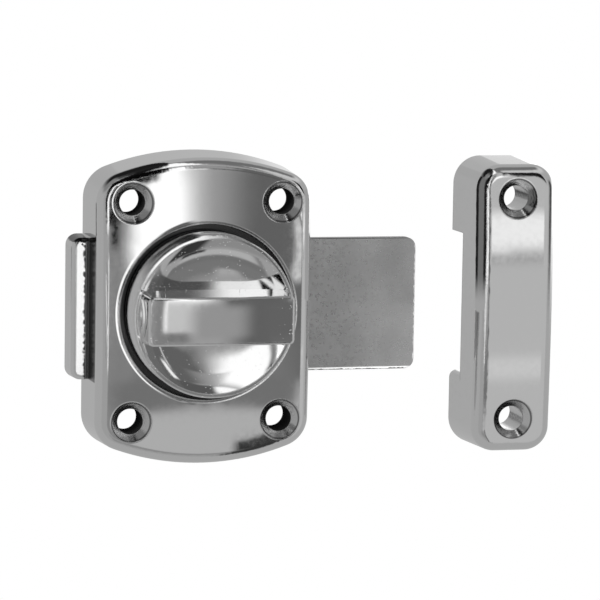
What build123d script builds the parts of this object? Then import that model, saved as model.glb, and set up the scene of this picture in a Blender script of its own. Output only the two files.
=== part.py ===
from build123d import *
from math import atan2, cos, hypot, pi, radians, sin, sqrt, tan
import os

# Surface door bolt: a cast case with a thumb turn and a flat sliding blade, and a cast keeper.
# Millimetres. The door face is the plane y = 0, the front faces -Y, +X runs toward the keeper and
# +Z is up. The origin is on the axis of the thumb turn, on the door face.
# "Height" below always means height off the door, along -Y.

# How far a cut runs past what it opens, how far a solid runs into what it joins, and how close
# a place has to be to count as the same
overcut = 2.0
overlap = 0.5
match = 0.01

# Case casting, its outline a little off the axis of the thumb turn
case_width = 46.6
case_height = 65.2
case_depth = 15.0
case_offset = -0.5
case_wall = 1.7
case_face_wall = 2.2
case_draft = 3.0
cavity_draft = 1.0
case_arc_radius = 54.0
case_corner_radius = 7.0
case_crown_radius = 420.0
case_edge_radius = 2.4

# Screw holes of the case, for No. 8 countersunk wood screws
screw_bore = 5.3
screw_head = 8.6
screw_head_angle = 90.0
case_hole_spacing_x = 31.6
case_hole_spacing_z = 45.6
screw_boss_radius = 4.8
screw_boss_height = 8.6

# Round recess that the thumb turn sits in
recess_radius = 18.3
recess_floor = 2.7
recess_wall = 1.6
recess_lip_radius = 0.7

# Thumb turn
knob_gap = 1.35
knob_floor_gap = 0.4
knob_rim_height = 6.35
knob_rim_width = 0.9
knob_dish_depth = 3.2
knob_skin = 2.2
knob_foot_chamfer = 0.5
knob_rim_radius = 0.35
bar_length = 31.6
bar_width = 11.2
bar_rise = 7.9
bar_draft = 3.0
bar_crown_radius = 180.0
bar_end_radius = 1.6
bar_edge_radius = 0.6
hub_radius = 6.4
collar_radius = 5.6
collar_height = 2.8
shank_radius = 3.5
shank_flat = 5.2
shank_clearance = 0.05
washer_thickness = 0.3
washer_bow = 0.45
washer_margin = 0.15

# Blade and the guides that it slides in
plate_thickness = 1.2
blade_thickness = 3.0
blade_height = 28.1
blade_reach = 24.5
blade_corner_radius = 2.1
blade_edge_radius = 0.35
slide_clearance = 0.3
guide_rib = 1.4

# Pinion and rack, one half turn of the thumb turn draws the blade back seven teeth
module = 1.0
pinion_teeth = 14
rack_teeth = 7
pressure_angle = 20.0
backlash = 0.12
flank_points = 4
pinion_addendum = 1.0
rack_addendum = 0.8
dedendum = 1.25
pinion_thickness = 3.4
pinion_gap = 0.15
pinion_blade_gap = 0.25
rack_wall_gap = 0.5
rack_tail_land = 1.1
rack_nose_land = 0.55
rack_back = 4.2
rack_thickness = 3.1
rack_rivet_count = 3
rack_rivet_radius = 1.0
rack_rivet_head = 1.7
rack_rivet_head_height = 0.45

# Retaining clip on the end of the shank, sunk in the back of the pinion
clip_thickness = 0.6
clip_outer_radius = 4.6
clip_groove_radius = 2.3
clip_slot = 3.0
clip_gap = 0.1
clip_sink = 1.1
clip_margin = 0.3
shank_end_gap = 0.1

# Tail pocket on the side of the case away from the keeper
pocket_reach = 3.6
pocket_wall = 1.5
pocket_height = 30.3
pocket_corner_radius = 2.3
pocket_edge_radius = 1.0

# Bowed strip spring that bears on the blade
spring_length = 20.0
spring_width = 4.0
spring_thickness = 0.35
spring_bow = 1.4
spring_gap = 0.03
spring_centre_x = 8.0
spring_rib_gap = 1.15
spring_rivet_radius = 0.8
spring_rivet_head = 1.4
spring_rivet_head_height = 0.35
spring_rivet_length = 4.0

# Back plate and its small countersunk screws
plate_gap = 0.15
plate_screw_radius = 1.25
plate_screw_head = 2.3
plate_screw_length = 6.0
plate_screw_clearance = 0.02
plate_screw_recess = 0.6
plate_boss_radius = 2.6
plate_boss_sink = 0.4
plate_screw_x = 6.5
plate_ear_margin = 2.9
plate_corner_radius = 1.5

# Keeper casting
keeper_width = 18.3
keeper_height = 62.2
keeper_depth = 18.0
keeper_wall = 2.0
keeper_face_wall = 2.4
keeper_draft = 2.5
keeper_corner_radius = 5.8
keeper_edge_radius = 2.75
keeper_crown_radius = 420.0
keeper_hole_spacing = 46.9
keeper_boss_radius = 4.5
keeper_boss_height = 11.0
keeper_standoff = 56.6
mouth_clearance = 1.1
mouth_depth = 7.0
mouth_round = 1.6

# Heights, from the door up through the blade's way and the pinion to the floor of the recess
blade_back = plate_thickness + slide_clearance
blade_front = blade_back + blade_thickness
slot_top = blade_front + slide_clearance
pinion_back = blade_front + pinion_blade_gap
pinion_front = pinion_back + pinion_thickness
floor_back = pinion_front + pinion_gap
recess_level = floor_back + recess_floor
cavity_top = case_depth - case_face_wall
knob_bottom = recess_level + knob_floor_gap
rim_level = case_depth + knob_rim_height
bar_top = rim_level + bar_rise
dish_level = rim_level - knob_dish_depth
core_top = dish_level - knob_skin
collar_top = recess_level + collar_height
hub_bottom = collar_top + washer_bow + washer_thickness
clip_seat = pinion_back + clip_sink
clip_front = clip_seat - clip_gap
clip_back = clip_front - clip_thickness
shank_end = pinion_back + shank_end_gap
spring_back = blade_front + spring_gap
spring_pad = spring_back + spring_bow + spring_thickness
hole_reach = hypot(case_hole_spacing_x, case_hole_spacing_z) / 2
hole_level = case_depth - hole_reach**2 / (2 * case_crown_radius)
keeper_hole_level = keeper_depth - (keeper_hole_spacing / 2) ** 2 / (2 * keeper_crown_radius)
keeper_cavity_top = keeper_depth - keeper_face_wall

# Places across the door
case_left = case_offset - case_width / 2
case_right = case_offset + case_width / 2
pocket_end = case_left - pocket_reach
pocket_inner = pocket_end + pocket_wall
pitch_radius = module * pinion_teeth / 2
tooth_pitch = pi * module
travel = rack_teeth * tooth_pitch
rack_nose = case_right - case_wall - rack_wall_gap
rack_first_tooth = rack_nose - rack_nose_land - (rack_teeth - 1) * tooth_pitch
rack_tail = rack_first_tooth - rack_tail_land
half_blade = blade_height / 2
slot_half = half_blade + slide_clearance
blade_tail = pocket_inner + slide_clearance + travel
blade_tip = case_right + blade_reach
knob_radius = recess_radius - knob_gap
spring_centre_z = -(slot_half - spring_rib_gap - spring_width / 2)
spring_tab_x = (spring_length - spring_width) / 2
spring_rivet_x = spring_centre_x + spring_tab_x
plate_half_z = slot_half + guide_rib
plate_screw_z = plate_half_z + plate_boss_radius - plate_boss_sink
keeper_centre = keeper_standoff + keeper_width / 2
mouth_half = half_blade + mouth_clearance


def level(height, x=0.0):
    """Sketch plane parallel to the door, its origin at x and its local axes along +X and +Z."""
    return Plane(origin=(x, -height, 0), x_dir=(1, 0, 0), z_dir=(0, -1, 0))


back_face = Plane(origin=(0, 0, 0), x_dir=(-1, 0, 0), z_dir=(0, 1, 0))


def barrel_outline(width, height, arc_radius, corner_radius):
    """Straight sides, with an arc across the top and the bottom and rounded corners."""
    half_w, half_h = width / 2, height / 2
    shoulder = half_h - (arc_radius - sqrt(arc_radius**2 - half_w**2))
    with BuildSketch() as outline:
        with BuildLine():
            Line((half_w, -shoulder), (half_w, shoulder))
            ThreePointArc((half_w, shoulder), (0, half_h), (-half_w, shoulder))
            Line((-half_w, shoulder), (-half_w, -shoulder))
            ThreePointArc((-half_w, -shoulder), (0, -half_h), (half_w, -shoulder))
        make_face()
        fillet(outline.vertices(), corner_radius)
    return outline.sketch


def crown(radius, top, centre_x=0.0):
    """Large ball whose front just reaches the height top, to crown a flat face."""
    return Pos(centre_x, radius - top, 0) * Sphere(radius, mode=Mode.PRIVATE)


def front_edges(part, height):
    """Edges that lie wholly in front of a height."""
    return part.edges().filter_by(lambda e: -e.bounding_box().max.Y > height)


# Tail pocket, cast on the side of the case away from the keeper
with BuildPart() as tail_pocket:
    with BuildSketch(level(0, case_left)):
        RectangleRounded(2 * pocket_reach, pocket_height, pocket_corner_radius)
    extrude(amount=slot_top + pocket_wall, taper=case_draft)
    fillet(front_edges(tail_pocket, slot_top), pocket_edge_radius)

# Case casting
case_body = barrel_outline(case_width, case_height, case_arc_radius, case_corner_radius)
cavity = barrel_outline(
    case_width - 2 * case_wall,
    case_height - 2 * case_wall,
    case_arc_radius - case_wall,
    case_corner_radius - case_wall,
)
screw_points = [
    (x * case_hole_spacing_x / 2, z * case_hole_spacing_z / 2) for x in (-1, 1) for z in (-1, 1)
]
plate_screw_points = [(x * plate_screw_x, z * plate_screw_z) for x in (-1, 1) for z in (-1, 1)]
guide_rib_z = slot_half + guide_rib / 2

with BuildPart() as case:
    with BuildSketch(level(0, case_offset)):
        add(case_body)
    extrude(amount=case_depth + overlap, taper=case_draft)
    add(crown(case_crown_radius, case_depth), mode=Mode.INTERSECT)
    fillet(front_edges(case, cavity_top / 2), case_edge_radius)
    add(tail_pocket.part)
    # Hollow, then what stands inside it
    with BuildSketch(level(0, case_offset)):
        add(cavity)
    extrude(amount=cavity_top, taper=cavity_draft, mode=Mode.SUBTRACT)
    with BuildSketch(level(floor_back)):
        Circle(recess_radius + recess_wall)
    extrude(amount=cavity_top - floor_back + overlap)
    with BuildSketch(level(hole_level - screw_boss_height)):
        with Locations(*screw_points):
            Circle(screw_boss_radius)
    extrude(amount=cavity_top - hole_level + screw_boss_height + overlap)
    with BuildSketch(level(plate_thickness)):
        with Locations(*plate_screw_points):
            Circle(plate_boss_radius)
    with BuildSketch(level(plate_thickness, case_offset)):
        with Locations((0, guide_rib_z), (0, -guide_rib_z)):
            Rectangle(case_width - 2 * case_wall, guide_rib)
    extrude(amount=cavity_top - plate_thickness)
    # Pads that the strip spring bends between
    with BuildSketch(level(spring_pad)):
        with Locations((spring_centre_x, spring_centre_z)):
            with GridLocations(2 * spring_tab_x, 0, 2, 1):
                Rectangle(spring_width, spring_width)
    extrude(amount=floor_back - spring_pad)
    with BuildSketch(level(spring_pad)):
        with Locations((spring_rivet_x, spring_centre_z)):
            Circle(spring_rivet_radius)
    extrude(amount=spring_rivet_length - spring_thickness, mode=Mode.SUBTRACT)
    # Pilot holes for the screws of the back plate
    with BuildSketch(level(plate_thickness)):
        with Locations(*plate_screw_points):
            Circle(plate_screw_radius + plate_screw_clearance)
    extrude(amount=plate_screw_length, mode=Mode.SUBTRACT)
    # Recess for the thumb turn, with its bearing collar
    with BuildSketch(level(recess_level)):
        Circle(recess_radius)
    extrude(amount=case_depth - recess_level + overcut, mode=Mode.SUBTRACT)
    with BuildSketch(level(recess_level)):
        Circle(collar_radius)
    extrude(amount=collar_height)
    with BuildSketch(level(floor_back)):
        Circle(shank_radius + shank_clearance)
    extrude(amount=recess_floor + collar_height, mode=Mode.SUBTRACT)
    lip = front_edges(case, recess_level).filter_by(GeomType.CIRCLE)
    fillet(lip.filter_by(lambda e: abs(e.radius - recess_radius) < match), recess_lip_radius)
    # Way through the walls for the blade and its tail
    with BuildSketch(level(0)):
        with Locations((case_right, 0)):
            Rectangle(2 * (case_wall + overcut), 2 * slot_half)
        with Locations((pocket_inner, 0)):
            Rectangle(
                pocket_reach + case_wall + overcut,
                2 * slot_half,
                align=(Align.MIN, Align.CENTER),
            )
    extrude(amount=slot_top, mode=Mode.SUBTRACT)
    # Countersunk holes from the front
    with Locations(*[level(hole_level) * Pos(x, z) for x, z in screw_points]):
        CounterSinkHole(screw_bore / 2, screw_head / 2, counter_sink_angle=screw_head_angle)
case.part.label = "case"

# Back plate, let into the back of the case, with tongues that floor the blade's way
with BuildPart() as back_plate:
    with BuildSketch(level(0)) as plate_outline:
        with Locations((case_offset, 0)):
            Rectangle(case_width - 2 * (case_wall + plate_gap), 2 * plate_half_z)
        Rectangle(2 * (plate_screw_x + plate_ear_margin), 2 * (plate_screw_z + plate_ear_margin))
        fillet(
            plate_outline.vertices().group_by(lambda v: abs(v.Y))[-1],
            plate_corner_radius,
        )
        with Locations((case_right - plate_gap, 0)):
            Rectangle(case_width / 2, 2 * (slot_half - plate_gap), align=(Align.MAX, Align.CENTER))
        with Locations((pocket_inner + plate_gap, 0)):
            Rectangle(case_width / 2, 2 * (slot_half - plate_gap), align=(Align.MIN, Align.CENTER))
    extrude(amount=plate_thickness)
    with Locations(*[back_face * Pos(x, z) for x, z in plate_screw_points]):
        CounterSinkHole(
            plate_screw_radius + plate_screw_clearance,
            plate_screw_head + plate_screw_clearance,
            counter_sink_angle=screw_head_angle,
        )
back_plate.part.label = "back_plate"

# Countersunk screws of the back plate, flush with it, with a cross recess
with BuildPart() as back_plate_screws:
    with BuildSketch(level(0)):
        with Locations(*plate_screw_points):
            Circle(plate_screw_radius)
    extrude(amount=plate_screw_length)
    with Locations(*[level(0) * Pos(x, z) for x, z in plate_screw_points]):
        Cone(
            plate_screw_head,
            plate_screw_radius,
            plate_screw_head - plate_screw_radius,
            align=(Align.CENTER, Align.CENTER, Align.MIN),
        )
    with BuildSketch(level(0)):
        with Locations(*plate_screw_points):
            Rectangle(plate_screw_head, plate_screw_recess)
            Rectangle(plate_screw_recess, plate_screw_head)
    extrude(amount=plate_screw_recess, mode=Mode.SUBTRACT)
back_plate_screws.part.label = "back_plate_screws"

# Thumb turn: a dished drum with a grip bar across it, cored from below, on a round shank
dish_half = knob_radius - knob_rim_width
dish_radius = (dish_half**2 + knob_dish_depth**2) / (2 * knob_dish_depth)
dish_mid = dish_level + dish_radius - sqrt(dish_radius**2 - (dish_half / 2) ** 2)

# Grip bar, tapered up to a slightly crowned top
with BuildPart() as grip_bar:
    with BuildSketch(level(core_top + knob_skin / 2)):
        RectangleRounded(bar_length, bar_width, bar_end_radius)
    extrude(amount=bar_top + overlap - core_top - knob_skin / 2, taper=bar_draft)
    add(crown(bar_crown_radius, bar_top), mode=Mode.INTERSECT)
    fillet(front_edges(grip_bar, rim_level), bar_edge_radius)

with BuildPart() as knob:
    with BuildSketch(Plane.XY) as drum:
        with BuildLine():
            ThreePointArc((0, -dish_level), (dish_half / 2, -dish_mid), (dish_half, -rim_level))
            Polyline(
                (dish_half, -rim_level),
                (knob_radius, -rim_level),
                (knob_radius, -knob_bottom),
                (knob_radius - knob_skin, -knob_bottom),
                (knob_radius - knob_skin, -core_top),
                (hub_radius, -core_top),
                (hub_radius, -hub_bottom),
                (0, -hub_bottom),
                (0, -dish_level),
            )
        make_face()
        fillet(drum.vertices().group_by(Axis.Y)[0], knob_rim_radius)
        foot = drum.vertices().group_by(Axis.X)[-1].sort_by(Axis.Y)[-1]
        chamfer(foot, knob_foot_chamfer)
    revolve(axis=Axis.Y)
    add(grip_bar.part)
    with BuildSketch(level(pinion_front)):
        Circle(shank_radius)
    extrude(amount=hub_bottom - pinion_front)
    with BuildSketch(level(shank_end)) as shank_tip:
        Circle(shank_radius)
        Rectangle(shank_flat, 2 * shank_radius, mode=Mode.INTERSECT)
    extrude(amount=pinion_front - shank_end)
    with BuildSketch(level(clip_back)):
        Circle(shank_radius)
        Circle(clip_groove_radius, mode=Mode.SUBTRACT)
    extrude(amount=clip_thickness, mode=Mode.SUBTRACT)
knob.part.label = "knob"

# Bowed washer between the collar and the thumb turn, which takes up the play
washer_inner = shank_radius + washer_margin
washer_outer = collar_radius - washer_margin
washer_crown = collar_top + washer_bow
with BuildPart() as spring_washer:
    with BuildSketch(Plane.XY) as washer_bend:
        with BuildLine():
            low_arc = ThreePointArc(
                (-washer_outer, -collar_top), (0, -washer_crown), (washer_outer, -collar_top)
            )
            high_arc = ThreePointArc(
                (-washer_outer, -collar_top - washer_thickness),
                (0, -washer_crown - washer_thickness),
                (washer_outer, -collar_top - washer_thickness),
            )
            Line(low_arc @ 0, high_arc @ 0)
            Line(low_arc @ 1, high_arc @ 1)
        make_face()
    extrude(amount=washer_outer, both=True)
    with BuildSketch(level(collar_top)):
        Circle(washer_outer)
        Circle(washer_inner, mode=Mode.SUBTRACT)
    extrude(amount=2 * (washer_bow + washer_thickness), mode=Mode.INTERSECT)
spring_washer.part.label = "spring_washer"


def involute(base_radius, radius, start_angle, hand):
    """Point of an involute at a radius, turned by start_angle, on either hand of the tooth."""
    roll = sqrt((radius / base_radius) ** 2 - 1)
    angle = start_angle + hand * (roll - atan2(roll, 1))
    return (radius * cos(angle), radius * sin(angle))


def tooth_space(base_radius, root_radius, tip_radius, centre_angle, half_gap_at_base):
    """Outline of the gap between two teeth, closed beyond the tips."""
    reach = tip_radius + module / 2
    flank_step = (tip_radius - base_radius) / (flank_points - 1)
    radii = [base_radius + flank_step * k for k in range(flank_points)]
    right = [involute(base_radius, r, centre_angle - half_gap_at_base, -1) for r in radii]
    left = [involute(base_radius, r, centre_angle + half_gap_at_base, 1) for r in radii]
    right_root = (
        root_radius * cos(centre_angle - half_gap_at_base),
        root_radius * sin(centre_angle - half_gap_at_base),
    )
    left_root = (
        root_radius * cos(centre_angle + half_gap_at_base),
        root_radius * sin(centre_angle + half_gap_at_base),
    )
    with BuildSketch() as gap:
        with BuildLine():
            Line(right_root, right[0])
            Spline(right)
            outer = [tuple(v * reach / tip_radius for v in p) for p in (right[-1], left[-1])]
            Polyline(right[-1], outer[0], outer[1], left[-1])
            Spline(left)
            Line(left[0], left_root)
            Line(left_root, right_root)
        make_face()
    return gap.sketch


# Drive pinion, keyed to the shank by two flats, its back sunk for the clip
base_radius = pitch_radius * cos(radians(pressure_angle))
tip_radius = pitch_radius + pinion_addendum * module
root_radius = pitch_radius - dedendum * module
half_gap_pitch = (tooth_pitch + backlash) / 4 / pitch_radius
roll_at_pitch = tan(radians(pressure_angle)) - radians(pressure_angle)
half_gap_base = half_gap_pitch - roll_at_pitch
gap_angle = pi / 2 - rack_first_tooth / pitch_radius

with BuildPart() as drive_pinion:
    with BuildSketch(level(pinion_back)):
        Circle(tip_radius)
        for tooth in range(pinion_teeth):
            angle = gap_angle + 2 * pi * tooth / pinion_teeth
            add(
                tooth_space(base_radius, root_radius, tip_radius, angle, half_gap_base),
                mode=Mode.SUBTRACT,
            )
    extrude(amount=pinion_thickness)
    with BuildSketch(level(pinion_back)):
        Circle(shank_radius + shank_clearance)
        Rectangle(
            shank_flat + 2 * shank_clearance,
            2 * (shank_radius + shank_clearance),
            mode=Mode.INTERSECT,
        )
    extrude(amount=pinion_thickness, mode=Mode.SUBTRACT)
    with BuildSketch(level(pinion_back)):
        Circle(clip_outer_radius + clip_margin)
    extrude(amount=clip_sink, mode=Mode.SUBTRACT)
drive_pinion.part.label = "drive_pinion"

# Retaining clip, a flat spring ring open on one side, pushed into the groove of the shank
with BuildPart() as retaining_clip:
    with BuildSketch(level(clip_back)):
        Circle(clip_outer_radius)
        Circle(clip_groove_radius, mode=Mode.SUBTRACT)
        Rectangle(
            clip_slot, clip_outer_radius, align=(Align.CENTER, Align.MAX), mode=Mode.SUBTRACT
        )
    extrude(amount=clip_thickness)
retaining_clip.part.label = "retaining_clip"

# Blade, a flat plate with slightly rolled edges
rack_back_z = pitch_radius + dedendum * module + rack_back
rivet_step = (rack_nose - rack_tail) / rack_rivet_count
rivet_points = [
    (rack_tail + rivet_step * (2 * k + 1) / 2, rack_back_z - rack_back / 2)
    for k in range(rack_rivet_count)
]
with BuildPart() as bolt_blade:
    with BuildSketch(level(blade_back)) as blade_outline:
        with Locations((blade_tail, 0)):
            Rectangle(blade_tip - blade_tail, blade_height, align=(Align.MIN, Align.CENTER))
        fillet(blade_outline.vertices(), blade_corner_radius)
    extrude(amount=blade_thickness)
    fillet(bolt_blade.faces().filter_by(Axis.Y).edges(), blade_edge_radius)
    with BuildSketch(level(blade_back)):
        with Locations(*rivet_points):
            Circle(rack_rivet_radius)
    extrude(amount=blade_thickness, mode=Mode.SUBTRACT)
bolt_blade.part.label = "bolt_blade"

# Rack, riveted on the front of the blade
tooth_slope = tan(radians(pressure_angle))
half_tooth = (tooth_pitch - backlash) / 4
root_half = half_tooth + dedendum * module * tooth_slope
tip_half = half_tooth - rack_addendum * module * tooth_slope
rack_root_z = pitch_radius + dedendum * module
rack_tip_z = pitch_radius - rack_addendum * module
with BuildPart() as rack:
    with BuildSketch(level(blade_front)):
        with Locations((rack_tail, rack_root_z)):
            Rectangle(rack_nose - rack_tail, rack_back, align=(Align.MIN, Align.MIN))
        with BuildLine():
            Polyline(
                (rack_first_tooth - root_half, rack_root_z),
                (rack_first_tooth - tip_half, rack_tip_z),
                (rack_first_tooth + tip_half, rack_tip_z),
                (rack_first_tooth + root_half, rack_root_z),
                close=True,
            )
        rack_tooth = make_face(mode=Mode.PRIVATE)
        for tooth in range(rack_teeth):
            add(Pos(tooth * tooth_pitch, 0) * rack_tooth)
        with Locations((rack_tail, rack_tip_z)):
            Rectangle(
                rack_nose - rack_tail,
                rack_back + rack_root_z - rack_tip_z,
                align=(Align.MIN, Align.MIN),
                mode=Mode.INTERSECT,
            )
    extrude(amount=rack_thickness)
    with BuildSketch(level(blade_front)):
        with Locations(*rivet_points):
            Circle(rack_rivet_radius)
    extrude(amount=rack_thickness, mode=Mode.SUBTRACT)
rack.part.label = "rack"

# Rivets that hold the rack to the blade, flush at the back
with BuildPart() as rack_rivets:
    with BuildSketch(level(blade_back)):
        with Locations(*rivet_points):
            Circle(rack_rivet_radius)
    extrude(amount=blade_thickness + rack_thickness)
    with BuildSketch(level(blade_front + rack_thickness)):
        with Locations(*rivet_points):
            Circle(rack_rivet_head)
    extrude(amount=rack_rivet_head_height)
rack_rivets.part.label = "rack_rivets"

# Bowed strip spring with a flat tab at each end
bow_start = spring_tab_x - spring_width / 2
with BuildPart() as strip_spring:
    with BuildSketch(Plane.XY.offset(spring_centre_z)) as strip:
        with BuildLine():
            for front in (0, spring_thickness):
                tab = -(spring_pad - spring_thickness + front)
                crown_y = -(spring_back + front)
                Line(
                    (spring_centre_x - spring_length / 2, tab), (spring_centre_x - bow_start, tab)
                )
                ThreePointArc(
                    (spring_centre_x - bow_start, tab),
                    (spring_centre_x, crown_y),
                    (spring_centre_x + bow_start, tab),
                )
                Line(
                    (spring_centre_x + bow_start, tab), (spring_centre_x + spring_length / 2, tab)
                )
            for end in (-1, 1):
                x = spring_centre_x + end * spring_length / 2
                Line((x, -(spring_pad - spring_thickness)), (x, -spring_pad))
        make_face()
    extrude(amount=spring_width / 2, both=True)
    with BuildSketch(level(spring_pad - spring_thickness)):
        with Locations((spring_rivet_x, spring_centre_z)):
            Circle(spring_rivet_radius)
    extrude(amount=spring_thickness, mode=Mode.SUBTRACT)
strip_spring.part.label = "strip_spring"

# Rivet that pins one end of the strip spring to the case
with BuildPart() as spring_rivet:
    with BuildSketch(level(spring_pad - spring_thickness)):
        with Locations((spring_rivet_x, spring_centre_z)):
            Circle(spring_rivet_radius)
    extrude(amount=spring_rivet_length)
    with BuildSketch(level(spring_pad - spring_thickness - spring_rivet_head_height)):
        with Locations((spring_rivet_x, spring_centre_z)):
            Circle(spring_rivet_head)
    extrude(amount=spring_rivet_head_height)
spring_rivet.part.label = "spring_rivet"

# Keeper casting, hollow from the back, with the blade's mouth in the side that faces the case
keeper_points = [(0, z * keeper_hole_spacing / 2) for z in (-1, 1)]
with BuildPart() as keeper:
    with BuildSketch(level(0, keeper_centre)):
        RectangleRounded(keeper_width, keeper_height, keeper_corner_radius)
    extrude(amount=keeper_depth + overlap, taper=keeper_draft)
    add(crown(keeper_crown_radius, keeper_depth, keeper_centre), mode=Mode.INTERSECT)
    fillet(front_edges(keeper, keeper_cavity_top / 2), keeper_edge_radius)
    with BuildSketch(level(0, keeper_centre)):
        RectangleRounded(
            keeper_width - 2 * keeper_wall,
            keeper_height - 2 * keeper_wall,
            keeper_corner_radius - keeper_wall,
        )
    extrude(amount=keeper_cavity_top, taper=cavity_draft, mode=Mode.SUBTRACT)
    with BuildSketch(level(keeper_hole_level - keeper_boss_height, keeper_centre)):
        with Locations(*keeper_points):
            Circle(keeper_boss_radius)
    extrude(amount=keeper_cavity_top - keeper_hole_level + keeper_boss_height + overlap)
    with BuildSketch(level(0, keeper_standoff)):
        Rectangle(2 * (keeper_wall + overcut), 2 * mouth_half)
    extrude(amount=mouth_depth, mode=Mode.SUBTRACT)
    # Lead-in round at the lower end of the mouth
    lead_in = keeper.edges().filter_by(
        lambda e: e.bounding_box().max.X < keeper_standoff + keeper_wall / 2
        and abs(e.center().Z + mouth_half) < match
        and e.bounding_box().size.Y > mouth_depth / 2
    )
    fillet(lead_in, mouth_round)
    with Locations(*[level(keeper_hole_level, keeper_centre) * Pos(x, z) for x, z in keeper_points]):
        CounterSinkHole(screw_bore / 2, screw_head / 2, counter_sink_angle=screw_head_angle)
keeper.part.label = "keeper"

# Files
os.makedirs("parts", exist_ok=True)
for piece in (
    case,
    back_plate,
    back_plate_screws,
    knob,
    spring_washer,
    drive_pinion,
    retaining_clip,
    bolt_blade,
    rack,
    rack_rivets,
    strip_spring,
    spring_rivet,
    keeper,
):
    export_step(piece.part, f"parts/{piece.part.label}.step")
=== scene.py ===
# %% [markdown]
# # A surface door bolt in bright chrome
# The real object is a thumb turn, a flat sliding blade and a keeper, cast in zinc and chrome plated.
# Its shapes are exact and its finish is a mirror. So two things make the picture: clean surfaces,
# which come from the CAD model, and what stands around the object for them to mirror.

# %% Load the fixed frame
from math import pi, radians, tan

import bmesh
import bpy
from mathutils import Matrix, Vector


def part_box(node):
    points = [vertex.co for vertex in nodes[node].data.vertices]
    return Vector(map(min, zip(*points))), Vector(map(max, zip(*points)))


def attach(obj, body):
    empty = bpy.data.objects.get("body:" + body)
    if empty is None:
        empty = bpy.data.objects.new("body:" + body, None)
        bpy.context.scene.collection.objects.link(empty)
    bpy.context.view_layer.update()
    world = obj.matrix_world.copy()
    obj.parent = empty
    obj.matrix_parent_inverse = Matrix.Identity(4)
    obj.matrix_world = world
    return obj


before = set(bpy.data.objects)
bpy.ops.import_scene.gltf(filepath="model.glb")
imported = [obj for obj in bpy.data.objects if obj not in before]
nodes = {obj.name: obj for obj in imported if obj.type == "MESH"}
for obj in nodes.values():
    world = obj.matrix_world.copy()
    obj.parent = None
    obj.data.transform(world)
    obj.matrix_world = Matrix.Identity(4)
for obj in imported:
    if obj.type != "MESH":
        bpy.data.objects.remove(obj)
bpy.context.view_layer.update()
mm = 0.001

# %% [markdown]
# ## The camera
# The photograph was taken with a long lens, from a little to the left of the object and a little
# above it. A helper could frame the object by itself, but it would not know the photograph's
# margins, so the place, the aim and the lens are given as numbers.

# %% Camera
photo_width = 600
focal_pixels = 3494.7
sensor_width = 36.0
camera_place = Vector((-0.1544, -0.715, 0.0944))
camera_yaw = radians(-13.95)
camera_pitch = radians(-7.27)
camera_roll = radians(0.95)

lens_data = bpy.data.cameras.new("camera")
lens_data.sensor_width = sensor_width
lens_data.lens = focal_pixels * sensor_width / photo_width
lens_data.clip_start = 0.01
camera = bpy.data.objects.new("camera", lens_data)
camera.matrix_world = (
    Matrix.Translation(camera_place)
    @ Matrix.Rotation(camera_yaw, 4, "Z")
    @ Matrix.Rotation(pi / 2 + camera_pitch, 4, "X")
    @ Matrix.Rotation(camera_roll, 4, "Z")
)
bpy.context.scene.collection.objects.link(camera)
bpy.context.scene.camera = camera
bpy.context.scene.view_settings.view_transform = "Standard"
print("lens in mm:", round(lens_data.lens, 1), "distance in m:", round(camera_place.length, 3))


# %% [markdown]
# ## Nodes from a script
# Every finish below is a small tree of nodes. The node editor would do for one of them, but a
# script can repeat a tree with other numbers. These helpers clear a tree, add a node with its
# values and links, and do a sum.

# %% Trees and nodes
def new_tree(owner):
    """Empty node tree of a material or a world."""
    owner.use_nodes = True
    owner.node_tree.nodes.clear()
    return owner.node_tree


def connect(tree, socket, value):
    """Link an input to another node's output, or set its value. None leaves it alone."""
    if isinstance(value, bpy.types.NodeSocket):
        tree.links.new(value, socket)
    elif value is not None:
        socket.default_value = value


def add_node(tree, kind, inputs=(), **settings):
    """New node of a kind, with its settings, and its inputs in their order."""
    node = tree.nodes.new(kind)
    for name, value in settings.items():
        setattr(node, name, value)
    for socket, value in zip(node.inputs, inputs):
        connect(tree, socket, value)
    return node


def maths(tree, operation, *inputs):
    """Output of a math node."""
    return add_node(tree, "ShaderNodeMath", inputs, operation=operation).outputs[0]


def vectors(tree, operation, *inputs, output=0):
    """Output of a vector math node."""
    return add_node(tree, "ShaderNodeVectorMath", inputs, operation=operation).outputs[output]


print("Blender", bpy.app.version_string)


# %% [markdown]
# ## The page
# The photograph's page is white. A brighter world would make it so, but it would wash out the
# object. So the world is white only where the camera, a mirror or glass sees it, and a plain grey
# in all other light.

# %% Page
def ramp(tree, value, low, high, from_level=0.0, to_level=1.0, kind="SMOOTHSTEP"):
    """Level that goes from one value to another while the input goes from low to high."""
    node = add_node(
        tree, "ShaderNodeMapRange", (value, low, high, from_level, to_level), interpolation_type=kind
    )
    return node.outputs["Result"]


def grey(level):
    """Colour without a hue."""
    return (level, level, level, 1.0)


page_light = 0.6
world = bpy.data.worlds.new("page")
bpy.context.scene.world = world
tree = new_tree(world)
path = tree.nodes.new("ShaderNodeLightPath")
seen = maths(tree, "MAXIMUM", path.outputs["Is Camera Ray"], path.outputs["Is Glossy Ray"])
seen = maths(tree, "MAXIMUM", seen, path.outputs["Is Transmission Ray"])
strength = ramp(tree, seen, 0, 1, page_light, 1.0, "LINEAR")
background = add_node(tree, "ShaderNodeBackground", (grey(1.0), strength))
add_node(tree, "ShaderNodeOutputWorld", (background.outputs[0],))
print("page: 1.0 where it is seen,", page_light, "in other light")


# %% [markdown]
# ## The studio's pieces
# The chrome needs cards, cloth and a flag to mirror. Lamps could stand in for them, but a lamp
# can't carry a pattern. So each piece is a plain mesh, hidden from the camera and without a
# shadow, that shows only in what mirrors it.

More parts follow.
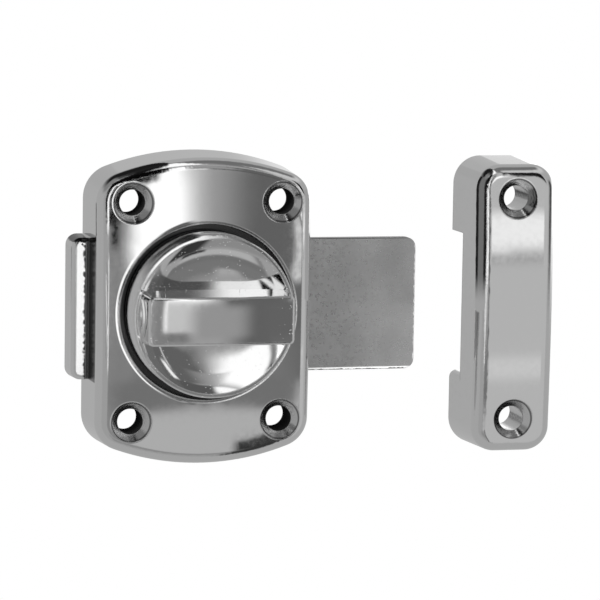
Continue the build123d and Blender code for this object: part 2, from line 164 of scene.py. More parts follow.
# %% Studio pieces
def new_piece(name, bm, material):
    """Object at the origin, made from a bmesh, in one material."""
    mesh = bpy.data.meshes.new(name)
    bm.to_mesh(mesh)
    bm.free()
    mesh.materials.append(material)
    piece = bpy.data.objects.new(name, mesh)
    bpy.context.scene.collection.objects.link(piece)
    return piece


def stage_piece(name, bm, material, seen=False):
    """Piece of the studio, which only reflections see unless it is a seen one."""
    piece = new_piece(name, bm, material)
    piece.visible_camera = seen
    piece.visible_diffuse = seen
    piece.visible_shadow = seen
    print(name, "size in mm:", [round(side / mm, 1) for side in piece.dimensions])


def card(size, place, upright=False):
    """Flat card with its middle at a place, lying or standing."""
    bm = bmesh.new()
    bmesh.ops.create_grid(bm, x_segments=1, y_segments=1, size=0.5)
    bmesh.ops.scale(bm, vec=(*size, 1), verts=bm.verts)
    if upright:
        bmesh.ops.rotate(bm, matrix=Matrix.Rotation(pi / 2, 3, "X"), verts=bm.verts)
    bmesh.ops.translate(bm, vec=place, verts=bm.verts)
    return bm


# %% [markdown]
# ## The floor
# A sheet of pale paper lies below the picture's edge and sends light up from there. Its border
# would be a hard line in other views, so it fades into the page for the camera. An endless sheet
# would have no border, but it would hide the page in every view from above.

# %% Floor
def object_place(tree):
    """Object coordinates, in metres in the shared frame."""
    return tree.nodes.new("ShaderNodeTexCoord").outputs["Object"]


def noise(tree, place, scale, detail=2.0):
    """Soft noise from 0 to 1."""
    node = tree.nodes.new("ShaderNodeTexNoise")
    for name, value in (("Vector", place), ("Scale", scale), ("Detail", detail)):
        connect(tree, node.inputs[name], value)
    return node.outputs["Fac"]


def principled(tree, **inputs):
    """Output of a Principled shader. Its inputs go by name, as in Base_Color."""
    shader = tree.nodes.new("ShaderNodeBsdfPrincipled")
    for name, value in inputs.items():
        connect(tree, shader.inputs[name.replace("_", " ")], value)
    return shader.outputs[0]


paper_level = 0.92
paper_roughness = (0.85, 0.95)
paper_fibres = 400.0
floor_centre = (0, -0.1, -0.32)
floor_size = (2.4, 1.8)
floor_fade = (0.3, 0.75)

material = bpy.data.materials.new("floor_paper")
tree = new_tree(material)
fibre = noise(tree, object_place(tree), paper_fibres, 3.0)
paper = principled(
    tree, Base_Color=grey(paper_level), Roughness=ramp(tree, fibre, 0.3, 0.7, *paper_roughness)
)
away = vectors(tree, "DISTANCE", object_place(tree), floor_centre, output="Value")
path = tree.nodes.new("ShaderNodeLightPath")
border = maths(tree, "MULTIPLY", ramp(tree, away, *floor_fade), path.outputs["Is Camera Ray"])
white = add_node(tree, "ShaderNodeEmission", (grey(1.0), 1.0)).outputs[0]
faded = add_node(tree, "ShaderNodeMixShader", (border, paper, white)).outputs[0]
add_node(tree, "ShaderNodeOutputMaterial", (faded,))
stage_piece("floor", card(floor_size, floor_centre), material, seen=True)

# %% [markdown]
# ## Two soft lamps
# Chrome shows what stands around it and hardly cares for lamps, but the matt steel does. Two
# large area lamps light it, the stronger one from the upper left. They are kept out of
# reflections, because a square lamp in a mirror would look like a window.

# %% Lamps
lamp_aim = Vector((0.02, 0, 0))
for name, place, size, watts in (
    ("key_lamp", (-0.5, -0.55, 0.65), 0.5, 7.0),
    ("fill_lamp", (0.6, -0.6, 0.3), 0.6, 3.0),
):
    lamp_data = bpy.data.lights.new(name, "AREA")
    lamp_data.size = size
    lamp_data.energy = watts
    lamp = bpy.data.objects.new(name, lamp_data)
    turn = (lamp_aim - Vector(place)).to_track_quat("-Z", "Y").to_matrix().to_4x4()
    lamp.matrix_world = Matrix.Translation(place) @ turn
    lamp.visible_glossy = False
    bpy.context.scene.collection.objects.link(lamp)
    print(name, watts, "W,", size, "m across")


# %% [markdown]
# ## Steel and alloy inside the case
# The back plate, the springs and the rivets are plated steel, and the pinion and the rack are an
# alloy. None of them is polished. A picture of brushed metal could give the grain, but noise that
# is stretched along the strip does so at any size. A slow mottle of the level lies over it.

# %% Steel
def stretched(tree, place, scale, centre=(0, 0, 0)):
    """Coordinates about a centre, scaled along each axis, in pattern cells per metre."""
    return vectors(tree, "MULTIPLY", vectors(tree, "SUBTRACT", place, centre), scale)


def bump(tree, height, depth, below=None):
    """Bump of a height field of 0 to 1, a depth in metres, over an earlier normal."""
    node = tree.nodes.new("ShaderNodeBump")
    for name, value in (("Strength", 1.0), ("Distance", depth), ("Height", height), ("Normal", below)):
        connect(tree, node.inputs[name], value)
    return node.outputs["Normal"]


def plain_colour(tree, level):
    """Colour without a hue, from a level that varies."""
    return add_node(tree, "ShaderNodeCombineColor", (level, level, level)).outputs[0]


steel_grain = (60, 2500, 2500)
steel_mottle = 260.0
grain_depth = 2e-6


def steel(name, level, roughness):
    """Matt metal with a fine grain and a mottled level."""
    material = bpy.data.materials.new(name)
    tree = new_tree(material)
    place = object_place(tree)
    mottle = noise(tree, place, steel_mottle, 4.0)
    fine = noise(tree, stretched(tree, place, steel_grain), 1.0, 3.0)
    shader = principled(
        tree,
        Metallic=1.0,
        Base_Color=plain_colour(tree, ramp(tree, mottle, 0.3, 0.7, level * 0.92, level * 1.08)),
        Roughness=ramp(tree, fine, 0.2, 0.8, roughness * 0.8, roughness * 1.2),
        Normal=bump(tree, fine, grain_depth),
    )
    add_node(tree, "ShaderNodeOutputMaterial", (shader,))
    return material


print("grain of the steel in cells per metre:", steel_grain)


# %% Dress the inner pieces
def dress(node_name, material):
    """Give a piece of the frame its material."""
    materials = nodes[node_name].data.materials
    materials.clear()
    materials.append(material)
    print(node_name, "is in", material.name)


for name in ("back_plate", "back_plate_screws", "rack_rivets", "spring_rivet"):
    dress(name, steel(name + "_steel", 0.6, 0.3))
for name in ("spring_washer", "retaining_clip", "strip_spring"):
    dress(name, steel(name + "_steel", 0.42, 0.25))
for name in ("drive_pinion", "rack"):
    dress(name, steel(name + "_alloy", 0.55, 0.38))


# %% [markdown]
# ## The blade
# The blade is cut from rolled plate. Its face is matt and a little cloudy, and the shears leave a
# burr along its edges. Its rounding mirrors a bright line with a dark one beside it, and these lines
# are painted highlight and painted shade. The burr is under a quarter of a millimetre high. It could
# be modelled, but the level of the material, by the distance from each edge, paints the same lines.
# Noise makes their borders ragged.

# %% Distances and masks
def span(low, high):
    """Two bounds in millimetres, as metres."""
    return low * mm, high * mm


def fade(tree, value, low, high, level=1.0):
    """Mask that falls from a level to nothing while the input goes from low to high."""
    return ramp(tree, value, low, high, level, 0.0)


def blend(tree, mask, below, above):
    """Value that goes from below to above as a mask goes from 0 to 1."""
    return add_node(tree, "ShaderNodeMix", (mask, None, below, above), data_type="FLOAT").outputs[0]


def parts_of(tree, vector):
    """X, Y and Z of a vector."""
    return add_node(tree, "ShaderNodeSeparateXYZ", (vector,)).outputs


blade_low, blade_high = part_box("bolt_blade")
print("blade height in mm:", round((blade_high[2] - blade_low[2]) / mm, 2))

# %% Tone of the blade
blade_level = 0.60
burr_grain = (900, 0, 900)
material = bpy.data.materials.new("blade_steel")
tree = new_tree(material)
place = object_place(tree)
x, y, z = parts_of(tree, place)
cloud = noise(tree, place, 170.0, 3.0)
speck = noise(tree, place, 1500.0)
tone = ramp(tree, cloud, 0.3, 0.7, blade_level * 0.94, blade_level * 1.06)
tone = maths(tree, "MULTIPLY", tone, ramp(tree, speck, 0.25, 0.75, 0.985, 1.015))
wander = noise(tree, stretched(tree, place, burr_grain), 1.0, 3.0)
wander = ramp(tree, wander, 0.3, 0.7, *span(-0.12, 0.12))
from_foot = maths(tree, "SUBTRACT", z, blade_low[2])
from_top = maths(tree, "SUBTRACT", blade_high[2], z)
from_end = maths(tree, "SUBTRACT", blade_high[0], x)
print("blade level from", blade_level * 0.94, "to", blade_level * 1.06)

# %% Painted highlights and shade along the blade's edges
blade_roughness = 0.3
painted_foot_highlight = fade(tree, from_foot, *span(0.45, 0.65))
painted_end_highlight = fade(tree, maths(tree, "ADD", from_end, wander), *span(0.15, 0.35), 0.8)
painted_foot_shade = fade(tree, maths(tree, "ADD", from_foot, wander), *span(0.16, 0.24))
painted_top_shade = fade(tree, from_top, *span(0.08, 0.2), 0.85)
# Painted highlights along the foot and the end, painted shade along the foot and the top
for mask, level in ((painted_foot_highlight, 0.95), (painted_end_highlight, 0.9), (painted_foot_shade, 0.03), (painted_top_shade, 0.05)):
    tone = blend(tree, mask, tone, level)
shader = principled(
    tree,
    Metallic=maths(tree, "SUBTRACT", 1.0, maths(tree, "MAXIMUM", painted_foot_highlight, painted_end_highlight)),
    Base_Color=plain_colour(tree, tone),
    Roughness=ramp(tree, speck, 0.2, 0.8, blade_roughness * 0.85, blade_roughness * 1.15),
    Normal=bump(tree, cloud, grain_depth),
)
add_node(tree, "ShaderNodeOutputMaterial", (shader,))
dress("bolt_blade", material)

# %% [markdown]
# ## Chrome
# Bright chrome is a mirror of about seventy per cent. A polished casting is never quite flat: a
# slow waviness bends what it mirrors, the wheel leaves fine upright lines, and a faint haze
# varies. All are too shallow to be shapes, so they are bumps and a change of roughness. The
# castings share this start. It gives a look of a few values, which each one then marks further.

# %% Chrome
chrome_level = 0.72
softened_edge = 0.3 * mm
wave_cells, wave_depth = (220, 220, 160), 2.0e-6
polish_cells, polish_depth = (2600, 2600, 120), 2.5e-7
haze_cells = (900, 900, 900)


def start_chrome(name, roughness=0.05):
    """Look of polished plate, before a casting's own marks."""
    material = bpy.data.materials.new(name)
    tree = new_tree(material)
    place = object_place(tree)
    rounded = tree.nodes.new("ShaderNodeBevel")
    rounded.samples = 4
    rounded.inputs["Radius"].default_value = softened_edge
    waves = noise(tree, stretched(tree, place, wave_cells), 1.0)
    lines = noise(tree, stretched(tree, place, polish_cells), 1.0)
    haze = noise(tree, stretched(tree, place, haze_cells), 1.0, 3.0)
    normal = bump(tree, waves, wave_depth, rounded.outputs["Normal"])
    return {
        "material": material,
        "tree": tree,
        "place": place,
        "level": chrome_level,
        "metal": 1.0,
        "rough": ramp(tree, haze, 0.3, 0.7, roughness * 0.7, roughness * 1.3),
        "normal": bump(tree, lines, polish_depth, normal),
    }


def finish_chrome(look):
    """Material of a look, once all its marks are made."""
    shader = principled(
        look["tree"],
        Metallic=look["metal"],
        Specular_IOR_Level=look.get("specular"),
        Base_Color=plain_colour(look["tree"], look["level"]),
        Roughness=look["rough"],
        Normal=look["normal"],
    )
    add_node(look["tree"], "ShaderNodeOutputMaterial", (shader,))
    return look["material"]


print("chrome level:", chrome_level, "waves in micrometres:", wave_depth * 1e6)

# %% [markdown]
# ## The screw holes
# The countersinks are cut after casting. They are scratched and duller than the face. A painted
# shade darkens their edge, and painted shade makes the case's bores black. One material covers a
# whole casting, so each mark needs a mask. It could be painted on a UV map. The distance from the
# nearest hole's axis is better, because it is the size on a drawing.

# %% Masks of the holes
hole_rim = span(4.2, 4.5)
hole_inside = span(4.2, 4.35)
edge_start, edge_end = span(3.85, 4.0), span(4.15, 4.25)
bore_border = span(2.70, 2.80)


def together(tree, first, *others):
    """Product of masks, which is 1 only where all of them are."""
    for other in others:
        first = maths(tree, "MULTIPLY", first, other)
    return first


def axis_distance(tree, place):
    """Distance from the axis that runs front to back through the origin."""
    return vectors(tree, "LENGTH", vectors(tree, "MULTIPLY", place, (1, 0, 1)), output="Value")


def hole_distance(tree, place, centre, spacing):
    """Distance from the axis of the nearest screw hole of a pattern about a centre."""
    moved = vectors(tree, "ABSOLUTE", vectors(tree, "SUBTRACT", place, (centre, 0, 0)))
    corner = (spacing[0] / 2, 0, spacing[1] / 2)
    return axis_distance(tree, vectors(tree, "SUBTRACT", moved, corner))


print("countersink masks end at", hole_inside[1] / mm, "mm, bores at", bore_border[1] / mm, "mm")

# %% Finish of the holes, with painted shade at their edges and in the bores
rim_fall = 0.02 * mm
scratch_cells, scratch_depth = (1500, 3000, 1500), 2.5e-5
painted_edge_shade_level = 0.18
sink_roughness = 0.14


def mark_holes(look, centre, spacing, sink_level, painted_bore_shade_level=None):
    """Countersinks at a level with a painted dark edge, and painted shade in bores given a level."""
    tree, place = look["tree"], look["place"]
    away = hole_distance(tree, place, centre, spacing)
    inside = fade(tree, away, *hole_inside)
    # Painted shade: a dark line along the edge of each countersink
    edge = together(tree, ramp(tree, away, *edge_start), fade(tree, away, *edge_end))
    look["level"] = blend(tree, inside, look["level"], sink_level)
    look["level"] = blend(tree, edge, look["level"], painted_edge_shade_level)
    look["rough"] = blend(tree, inside, look["rough"], sink_roughness)
    if painted_bore_shade_level is not None:
        # Painted shade in the bores: black and not metal
        painted_bore_shade = fade(tree, away, *bore_border)
        look["level"] = blend(tree, painted_bore_shade, look["level"], painted_bore_shade_level)
        look["metal"] = maths(tree, "SUBTRACT", 1.0, painted_bore_shade)
        look["specular"] = 0.0
    scratch = noise(tree, stretched(tree, place, scratch_cells), 1.0, 3.0)
    look["normal"] = bump(tree, ramp(tree, away, *hole_rim), rim_fall, look["normal"])
    look["normal"] = bump(tree, together(tree, scratch, inside), scratch_depth, look["normal"])


keeper_look = start_chrome("keeper_chrome", roughness=0.09)
mark_holes(keeper_look, 65.75 * mm, span(0, 46.9), 0.62)
dress("keeper", finish_chrome(keeper_look))
case_look = start_chrome("case_chrome")
mark_holes(case_look, 0, span(31.6, 45.6), 0.58, painted_bore_shade_level=0.02)

# %% [markdown]
# ## The recess round the thumb turn
# Deep in the recess a painted shade darkens the plate. Its left half ends in a lip that polishing
# has rolled over, and this shines as a white crescent. The lip is a few hundredths of a millimetre
# high. It could be modelled with thousands of faces, but a slight lean of the normal mirrors the
# same light, and it is one sum.

# %% Recess
recess_wall = span(18.25, 18.35)
recess_depth = span(-14.3, -13.6)
painted_recess_shade_level, recess_roughness = 0.07, 0.25
lip_start, lip_end, lip_right = span(18.35, 18.5), span(19.2, 19.6), span(-6, -2)
lip_lean = (0.058, 0, 0.16)


def leaned(tree, normal, lean):
    """Normal that a small vector turns."""
    return vectors(tree, "NORMALIZE", vectors(tree, "ADD", normal, lean))


def mark_recess(look):
    """Painted shade in the depth of the recess, and the rolled lip on its left half."""
    tree = look["tree"]
    x, y = parts_of(tree, look["place"])[:2]
    spread = axis_distance(tree, look["place"])
    # Painted shade deep in the recess, near black
    painted_recess_shade = together(tree, fade(tree, spread, *recess_wall), ramp(tree, y, *recess_depth))
    look["level"] = blend(tree, painted_recess_shade, look["level"], painted_recess_shade_level)
    look["rough"] = blend(tree, painted_recess_shade, look["rough"], recess_roughness)
    lip = together(
        tree, ramp(tree, spread, *lip_start), fade(tree, spread, *lip_end), fade(tree, x, *lip_right)
    )
    lean = vectors(tree, "SCALE", lip_lean, None, None, lip)
    look["normal"] = leaned(tree, look["normal"], lean)


mark_recess(case_look)
print("lip from", lip_start[0] / mm, "to", lip_end[1] / mm, "mm round the axis, lean", lip_lean)

# %% [markdown]
# ## The lug
# The pocket on the case's left side has a slightly drafted front. On its top, and where it meets
# the wall, a painted shade darkens it. On the wall beside it a painted dark reflection stands for
# its mirror image. A second material could do it, but its border would run along faces. A mask
# that noise moves gives a ragged border.

# %% Lug
lug_side = span(-24.2, -24.0)
lug_lean, lug_roughness = (-0.057, 0, 0), 0.13
lug_shade_cells, lug_shade_wander = (900, 300, 900), span(-0.25, 0.25)
lug_shade_right = span(-24.75, -24.35)
crest_foot, crest_left = span(13.6, 13.9), span(-27.1, -26.8)
wall_right, wall_front, wall_ends = span(-23.1, -23.0), span(-12.0, -11.8), span(14.5, 14.9)
painted_lug_shade_level, painted_reflection_level, wall_roughness = 0.04, 0.10, 0.2


def mark_lug(look):
    """Drafted front of the lug, its painted shade, and its painted dark reflection on the wall."""
    tree = look["tree"]
    x, y, z = parts_of(tree, look["place"])
    lug = fade(tree, x, *lug_side)
    lean = vectors(tree, "SCALE", lug_lean, None, None, lug)
    look["normal"] = leaned(tree, look["normal"], lean)
    wander = noise(tree, stretched(tree, look["place"], lug_shade_cells), 1.0, 3.0)
    wander = ramp(tree, wander, 0.3, 0.7, *lug_shade_wander)
    across = maths(tree, "ADD", x, wander)
    height = maths(tree, "MULTIPLY_ADD", wander, 2.0, z)
    # Painted shade where the lug meets the wall, and along its top
    painted_lug_shade = together(tree, lug, ramp(tree, across, *lug_shade_right))
    painted_crest_shade = together(tree, lug, ramp(tree, height, *crest_foot), ramp(tree, x, *crest_left))
    # Painted dark reflection of the lug on the wall beside it
    wall = together(
        tree,
        fade(tree, x, *wall_right),
        ramp(tree, y, *wall_front),
        fade(tree, maths(tree, "ABSOLUTE", z), *wall_ends),
        maths(tree, "SUBTRACT", 1.0, lug),
    )
    # Painted shade on the lug, and the painted reflection on the wall
    for mask, level in ((painted_lug_shade, painted_lug_shade_level), (painted_crest_shade, painted_lug_shade_level), (wall, painted_reflection_level)):
        look["level"] = blend(tree, mask, look["level"], level)
    for mask, roughness in ((lug, lug_roughness), (wall, wall_roughness)):
        look["rough"] = blend(tree, mask, look["rough"], roughness)


mark_lug(case_look)
dress("case", finish_chrome(case_look))
print("nodes in the case's material:", len(case_look["tree"].nodes))

# %% [markdown]
# ## The thumb turn's faces
# The thumb turn is one casting: a drum in the recess, a dish in its front and a bar across. Its
# faces have small drafts and crowns that decide what each one mirrors. They could be cut into
# the solid, but each is a fraction of a degree, so leans of the normal stand for them. The drum
# is satin, and its foot lies in shade.

# %% Faces of the thumb turn
drum_side, drum_front = span(16.7, 16.8), span(-21.0, -20.8)
drum_lit = span(-13.4, -12.6)
drum_height, drum_lean = span(-21.2, -13.0), (-1.0, -0.45)
drum_roughness, shade_level = 0.18, 0.10
bar_top, top_lean = span(-28.9, -28.7), 0.016
flank_facing, flank_lean = (0.5, 0.8), 0.078
dish_corner, dish_lean = span(15.5, 23), 0.085
dish_low, dish_edge = span(-6.2, -5.8), span(16.15, 16.2)


def mark_turn(look):
    """Leans of the bar, the drum and the dish, and the drum's satin and shade."""
    tree = look["tree"]
    x, y, z = parts_of(tree, look["place"])
    spread = axis_distance(tree, look["place"])
    facing = tree.nodes.new("ShaderNodeNewGeometry").outputs["Normal"]
    on_flank = ramp(tree, parts_of(tree, facing)[2], *flank_facing)
    on_top = fade(tree, y, *bar_top)
    drum = together(tree, ramp(tree, spread, *drum_side), ramp(tree, y, *drum_front))
    lit = fade(tree, y, *drum_lit)
    corner = together(
        tree,
        ramp(tree, maths(tree, "SUBTRACT", x, z), *dish_corner, 0.0, dish_lean),
        fade(tree, z, *dish_low),
        fade(tree, spread, *dish_edge),
    )
    inward = together(tree, drum, lit, ramp(tree, y, *drum_height, *drum_lean, "LINEAR"))
    lean_x = maths(tree, "MULTIPLY_ADD", on_top, top_lean, corner)
    lean_y = maths(tree, "MULTIPLY_ADD", on_flank, flank_lean, inward)
    lean_z = maths(tree, "MULTIPLY", corner, -1.0)
    lean = add_node(tree, "ShaderNodeCombineXYZ", (lean_x, lean_y, lean_z)).outputs[0]
    look["normal"] = leaned(tree, look["normal"], lean)
    shade = together(tree, drum, maths(tree, "SUBTRACT", 1.0, lit))
    look["level"] = blend(tree, shade, look["level"], shade_level)
    look["rough"] = blend(tree, drum, look["rough"], drum_roughness)
    look["polished"] = on_top


turn_look = start_chrome("knob_chrome")
mark_turn(turn_look)
print("leans of the top, the flank and the dish:", top_lean, flank_lean, dish_lean)

# %% [markdown]
# ## Pits in the thumb turn
# Small pits of the casting show as pale dots, except on the bar's front, which is polished
# smooth. Their pale colour is partly a painted glint. They could be scattered as tiny pieces. A
# Voronoi pattern puts a dot in each cell instead, and a number from the cell's colour picks out
# some of them.

# %% Pits
pit_cells = (520, 520, 520)
pit_size = (0.13, 0.19)
pit_share, pit_shuffle = 0.18, 7.0
pit_depth, pit_glint_level = 1.5e-5, 0.95


def mark_pits(look):
    """Pits of the casting as pale dots, partly a painted glint, away from the polished top of the bar."""
    tree = look["tree"]
    cells = tree.nodes.new("ShaderNodeTexVoronoi")
    connect(tree, cells.inputs["Vector"], stretched(tree, look["place"], pit_cells))
    dot = fade(tree, cells.outputs["Distance"], *pit_size)
    number = maths(tree, "FRACT", maths(tree, "MULTIPLY", cells.outputs["Color"], pit_shuffle))
    picked = maths(tree, "LESS_THAN", number, pit_share)
    pit = together(tree, dot, picked, maths(tree, "SUBTRACT", 1.0, look["polished"]))
    look["normal"] = bump(tree, pit, pit_depth, look["normal"])
    # The pale level of the dots is partly a painted glint
    look["level"] = blend(tree, pit, look["level"], pit_glint_level)
    look["metal"] = maths(tree, "SUBTRACT", 1.0, pit)


mark_pits(turn_look)
knob_chrome = finish_chrome(turn_look)
dress("knob", knob_chrome)
print("share of the cells with a pit:", pit_share)

# %% [markdown]
# ## The dish of the thumb turn
# The photograph's dish is nearly flat in its middle and rises in a band along the rim. The
# solid's dish is deeper and one even curve. It could be displaced, but its triangles are loose.
# So a new face lies in the solid's dish: a profile that is spun round the axis, closed behind.

# %% Profile of the dish
rim_level = 21.38 * mm
dish_half = 16.15 * mm
dish_middle = 9.0 * mm
dish_back = 17.5 * mm
middle_radius = 116 * mm
rim_slope = radians(20.0)
profile_steps = 40


def dish_rise(spread):
    """Height of the dish above its middle at a distance from the axis."""
    steepening = tan(rim_slope) - dish_half / middle_radius
    band = dish_half - dish_middle
    out = max(spread - dish_middle, 0) / band
    return spread**2 / (2 * middle_radius) + steepening * band * out**3 / 3


spreads = [dish_half * k / profile_steps for k in range(profile_steps + 1)]
profile = [Vector((spread, dish_rise(dish_half) - dish_rise(spread) - rim_level, 0)) for spread in spreads]
profile += [Vector((dish_half, -dish_back, 0)), Vector((0, -dish_back, 0))]
print("dish depth in mm:", round(dish_rise(dish_half) / mm, 2))

# %% Dish
spin_steps = 128
sharp_angle = radians(30)
bm = bmesh.new()
points = [bm.verts.new(point) for point in profile]
edges = [bm.edges.new(pair) for pair in zip(points, points[1:])]
bmesh.ops.spin(
    bm,
    geom=points + edges,
    cent=(0, 0, 0),
    axis=(0, 1, 0),
    angle=2 * pi,
    steps=spin_steps,
    use_merge=True,
)
bmesh.ops.remove_doubles(bm, verts=bm.verts, dist=1e-6)
bmesh.ops.recalc_face_normals(bm, faces=bm.faces)
for face in bm.faces:
    face.smooth = True
for edge in bm.edges:
    edge.smooth = edge.calc_face_angle(0) < sharp_angle
knob_dish = new_piece("knob_dish", bm, knob_chrome)
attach(knob_dish, "knob")
print("faces in the dish:", len(knob_dish.data.polygons))


# %% [markdown]
# ## What the chrome mirrors
# A photographer sets up soft boxes and black flags round a chrome piece. Each could be a lamp or
# a card of its own. Here they are soft-edged panels, painted one over the other on three glowing
# surfaces, so a panel moves by two numbers. A panel's level is what shows in the chrome.

# %% Panels
def shown(level):
    """Light that shows in the chrome at a display level from 0 to 1."""
    linear = level / 12.92 if level < 0.04045 else ((level + 0.055) / 1.055) ** 2.4
    return linear / chrome_level


def painted(tree, base, place, panels):
    """Light of a surface, with each panel over those before it."""
    light = shown(base)
    for title, centre, half, border, level, turn in panels:
        moved = vectors(tree, "SUBTRACT", place, (*centre, 0))
        if turn:
            moved = add_node(
                tree,
                "ShaderNodeVectorRotate",
                (moved, None, None, radians(turn)),
                rotation_type="Z_AXIS",
            ).outputs[0]
        sides = parts_of(tree, vectors(tree, "ABSOLUTE", moved))
        masks = [fade(tree, sides[k], half[k] - border[k], half[k] + border[k]) for k in (0, 1)]
        light = blend(tree, together(tree, *masks), light, shown(level))
        light.node.label = title
    return light


def glow(tree, light):
    """Glowing surface without a hue."""
    emission = add_node(tree, "ShaderNodeEmission", (None, light))
    add_node(tree, "ShaderNodeOutputMaterial", (emission.outputs[0],))


print("white shows in the chrome at a light of", round(shown(1.0), 3))

# %% [markdown]
# ## The tent
# The sides of the case and the curved edges mirror what stands all round. A box would do, but
# its corners would show as lines in the curves, so the cloth is a sphere. Its panels are placed
# by azimuth and elevation.

# %% Tent
tent_radius = 0.3
tent_base = 0.63
# Azimuth from the front toward +X and elevation, half sizes, border, level, turn
tent_panels = [
    ("dark upper left", (-130, 78), (92, 38), (25, 15), 0.10, 0),
    ("dark over", (-35, 80), (60, 22), (20, 8), 0.12, 0),
    ("grey upper right", (62, 62), (42, 24), (12, 6), 0.42, 0),
    ("light upper right", (80, 43), (32, 7), (12, 5), 0.75, 0),
    ("grey upper left", (-60, 48), (22, 20), (8, 8), 0.48, 0),
    ("dark beside the column", (-13, 58), (7, 14), (2, 3), 0.08, 0),
    ("white column", (7, 62), (8, 20), (2.5, 4), 1.0, 0),
    ("light patch right", (50, 45), (14, 9), (4, 4), 0.75, 0),
    ("line by the keeper", (28, 8), (2, 9), (0.6, 2), 1.0, 0),
    ("grey by the keeper", (36, 12), (6, 14), (1.5, 3), 0.40, 0),
    ("behind top", (166, 21), (26, 7.5), (4, 3), 0.65, 0),
    ("behind top, left", (-172, 21), (16, 7.5), (8, 3), 0.62, 0),
    ("white behind right", (128, 5), (30, 8), (9, 5), 1.05, 0),
    ("dark side right", (79, 7), (9, 10), (4, 4), 0.25, 0),
    ("dark behind", (175, -3), (9, 9), (2, 2), 0.12, 0),
    ("dark behind left", (-176, -5), (4, 10), (2, 3), 0.30, 0),
    ("small flag left", (-148, -3.5), (6.5, 3), (1.5, 1.2), 0.06, 0),
]
material = bpy.data.materials.new("tent_cloth")
tree = new_tree(material)
x, y, z = parts_of(tree, object_place(tree))
azimuth = maths(tree, "ARCTAN2", x, maths(tree, "MULTIPLY", y, -1.0))
elevation = maths(tree, "ARCSINE", maths(tree, "DIVIDE", z, tent_radius))
degrees = [maths(tree, "DEGREES", angle) for angle in (azimuth, elevation)]
angles = add_node(tree, "ShaderNodeCombineXYZ", degrees).outputs[0]
glow(tree, painted(tree, tent_base, angles, tent_panels))
bm = bmesh.new()
bmesh.ops.create_uvsphere(bm, u_segments=64, v_segments=32, radius=tent_radius)
stage_piece("tent", bm, material)
print("tent panels:", len(tent_panels))

# %% [markdown]
# ## The board in front
# The flat front faces mirror only a small patch in front of them. A sphere would need its panels
# tiny there, so a board stands close. Its panels are set out as they show in the case's face, on
# a plane 60 mm before it, and grown to the board's own distance.

# %% Panels of the board
# Place and half size across and up in mm, border, level, turn
board_panels = [
    ("right grey", (64, 42), (42, 80), (11, 8), 0.37, 0),
    ("top middle", (12, 88), (20, 23), (8, 3), 0.56, 0),
    ("over the face", (12, 48), (17, 5), (8, 2), 0.60, 0),
    ("white for the flank", (-20, 60), (33, 10), (3, 3), 1.0, 0),
    ("dark for the flank", (34, 62), (19, 16), (3, 2), 0.33, 0),
    ("fall", (5, 30), (6, 17), (5, 3), 0.74, 0),
    ("left white", (-43, 52), (25, 30), (2, 4), 1.0, 0),
    ("dark by the hole", (-84, 52), (28, 26), (2, 4), 0.12, 0),
    ("white box", (-2.5, 78), (5.5, 55), (3.5, 6), 1.03, 0),
    ("white box, lower part", (-5.5, 22), (10.5, 20), (6, 6), 1.03, 0),
    ("upper left flag", (-70, 135), (61, 55), (2, 2), 0.03, 0),
    ("upper flag", (-20, 77), (11, 7), (1.5, 1.5), 0.03, 0),
    ("over the face flag", (-24, 54), (17, 9.5), (2, 1), 0.06, 0),
    ("face flag", (-15, 42.2), (10, 3.2), (1.0, 0.5), 0.04, -4),
    ("dark stripe left", (-50, -6), (2, 14), (0.8, 2), 0.30, 0),
    ("dark stripe far left", (-83.5, -8), (2.5, 19), (1, 2), 0.35, 0),
    ("streak for the lug's edge", (-74, -6.5), (24, 2.6), (2, 1), 1.0, 28),
    ("lug strip", (-32.5, -8), (5.5, 21), (1.2, 2), 1.10, 0),
    ("right strip", (48, 13), (1.5, 14), (0.8, 7), 0.80, 0),
    ("right window", (54, 34), (4, 12), (1.5, 3), 0.95, -10),
    ("right low", (47, -20), (5, 15), (2, 4), 0.40, 0),
    ("right foot", (50, -40), (2.2, 5), (1, 1.5), 0.68, 0),
    ("bar middle", (12, -6.5), (16, 8), (8, 1.5), 0.57, 0),
    ("bar right", (47, -6.5), (9, 9), (8, 2), 0.38, 0),
    ("bar fall", (-9, -5.5), (8, 8), (6, 2), 0.75, 0),
    ("bar left", (-17, -4), (2.6, 8), (1.3, 2.5), 0.97, 0),
    ("bar foot", (-12, -14), (10, 2), (4, 1), 0.45, 0),
    ("dish white", (-6, 10.5), (17, 7.5), (5, 1.5), 1.0, 0),
    ("left column", (-21, -12), (4, 52), (3, 2), 0.49, 0),
    ("left arc", (-22.6, 32.5), (1.9, 8.5), (0.5, 1.2), 0.04, 0),
    ("streak", (-21.3, 21), (1.1, 5), (0.5, 1.8), 0.06, -5),
    ("dish grey", (31, 9), (14, 8.5), (4, 2), 0.37, 0),
    ("dish upper", (14, -29), (32, 10), (5, 2), 0.45, 0),
    ("dish upper glow", (9, -20.5), (4, 2), (2, 1.2), 0.64, 0),
    ("lower grey", (14, -39), (35, 5.5), (4, 2.5), 0.43, 0),
    ("bottom", (14, -54), (30, 8), (7, 2.5), 0.67, 0),
    ("bottom, further down", (12, -92), (60, 22), (8, 8), 0.53, 0),
    ("bottom right shade", (53, -112), (20, 48), (6, 4), 0.20, 0),
    ("bottom right flag", (36, -60), (10.5, 4.2), (1.6, 0.6), 0.20, -5),
]
print("board panels:", len(board_panels))


# %% Board
def upright_place(tree, place):
    """X and Z of a place, for panels on a standing board."""
    axes = parts_of(tree, place)
    return add_node(tree, "ShaderNodeCombineXYZ", (axes[0], axes[2])).outputs[0]


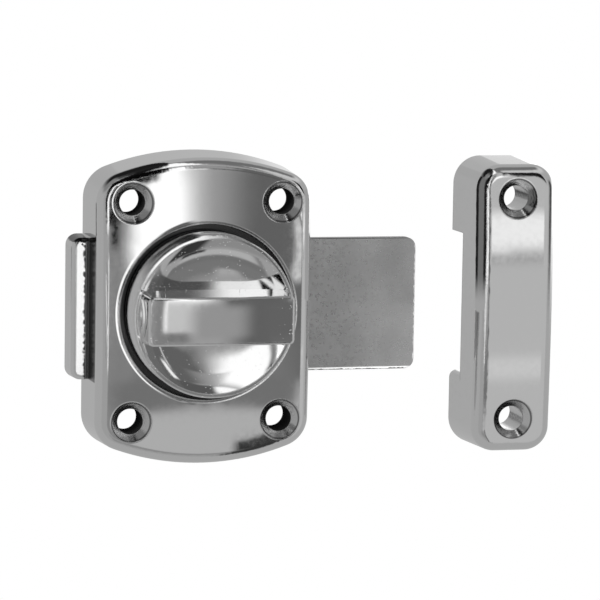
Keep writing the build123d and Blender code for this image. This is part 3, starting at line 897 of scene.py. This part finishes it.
board_base = 0.60
board_size = (0.30, 0.40)
board_centre = (-0.05, -0.175, 0.0)
viewing_distance = 0.70
drawn_gap, board_gap = 0.06, 0.16
growth = (viewing_distance + board_gap) / (viewing_distance + drawn_gap)

material = bpy.data.materials.new("board")
tree = new_tree(material)
shrink = 1 / growth / mm
place = stretched(tree, object_place(tree), (shrink, shrink, shrink), camera_place)
place = vectors(tree, "ADD", place, camera_place / mm)
glow(tree, painted(tree, board_base, upright_place(tree, place), board_panels))
stage_piece("board", card(board_size, board_centre, upright=True), material)
print("growth of the panels:", round(growth, 3))

# %% [markdown]
# ## The keeper's board and flag
# The keeper's rounded front mirrors light bands that the case's panels don't give. They would
# disturb the case, so the keeper has a board of its own, in front of it alone. A thin flag
# between the two gives its left edge dark lines. Its side toward the blade is light, because
# the blade would mirror a dark one.

# %% Keeper's board
keeper_base = 0.69
keeper_board_size = (0.13, 0.22)
keeper_board_centre = (0.130, -0.1, 0.0)
# Place and half size across and up in mm, border, level, turn
keeper_panels = [
    ("upper bright band", (92, 14), (14, 5.5), (6, 2.0), 0.92, 0),
    ("second streak", (85, 8), (4, 1.2), (2, 0.8), 0.88, 0),
    ("dark under it", (93, 5), (14, 1.5), (3, 1.2), 0.62, 0),
    ("lower bright band", (92, -30), (12, 3.5), (4, 2.0), 0.77, 0),
    ("top white", (78, 45), (10, 10), (4, 3), 1.0, 0),
    ("top flag", (125, 80), (34, 34), (4, 8), 0.08, 0),
]
material = bpy.data.materials.new("keeper_board")
tree = new_tree(material)
place = stretched(tree, object_place(tree), (1 / mm, 1 / mm, 1 / mm))
glow(tree, painted(tree, keeper_base, upright_place(tree, place), keeper_panels))
stage_piece("keeper_board", card(keeper_board_size, keeper_board_centre, upright=True), material)
print("keeper panels:", len(keeper_panels))

# %% Keeper's flag
flag_size = (0.5 * mm, 29 * mm, 36 * mm)
flag_centre = (49.75 * mm, -19.5 * mm, 16.5 * mm)
flag_dark, flag_grey, flag_foot, flag_blade_side = 0.10, 0.42, 0.62, 0.60

material = bpy.data.materials.new("keeper_flag")
tree = new_tree(material)
x, y, z = parts_of(tree, object_place(tree))
light = ramp(tree, y, *span(-24, -22.5), shown(flag_dark), shown(flag_grey))
light = blend(tree, ramp(tree, y, *span(-14, -12.5)), light, shown(flag_dark))
light = blend(tree, ramp(tree, z, *span(0, 7)), shown(flag_foot), light)
light = blend(tree, ramp(tree, x, *span(49.7, 49.8)), shown(flag_blade_side), light)
glow(tree, light)
bm = bmesh.new()
bmesh.ops.create_cube(bm, size=1)
bmesh.ops.scale(bm, vec=flag_size, verts=bm.verts)
bmesh.ops.translate(bm, vec=flag_centre, verts=bm.verts)
stage_piece("keeper_flag", bm, material)
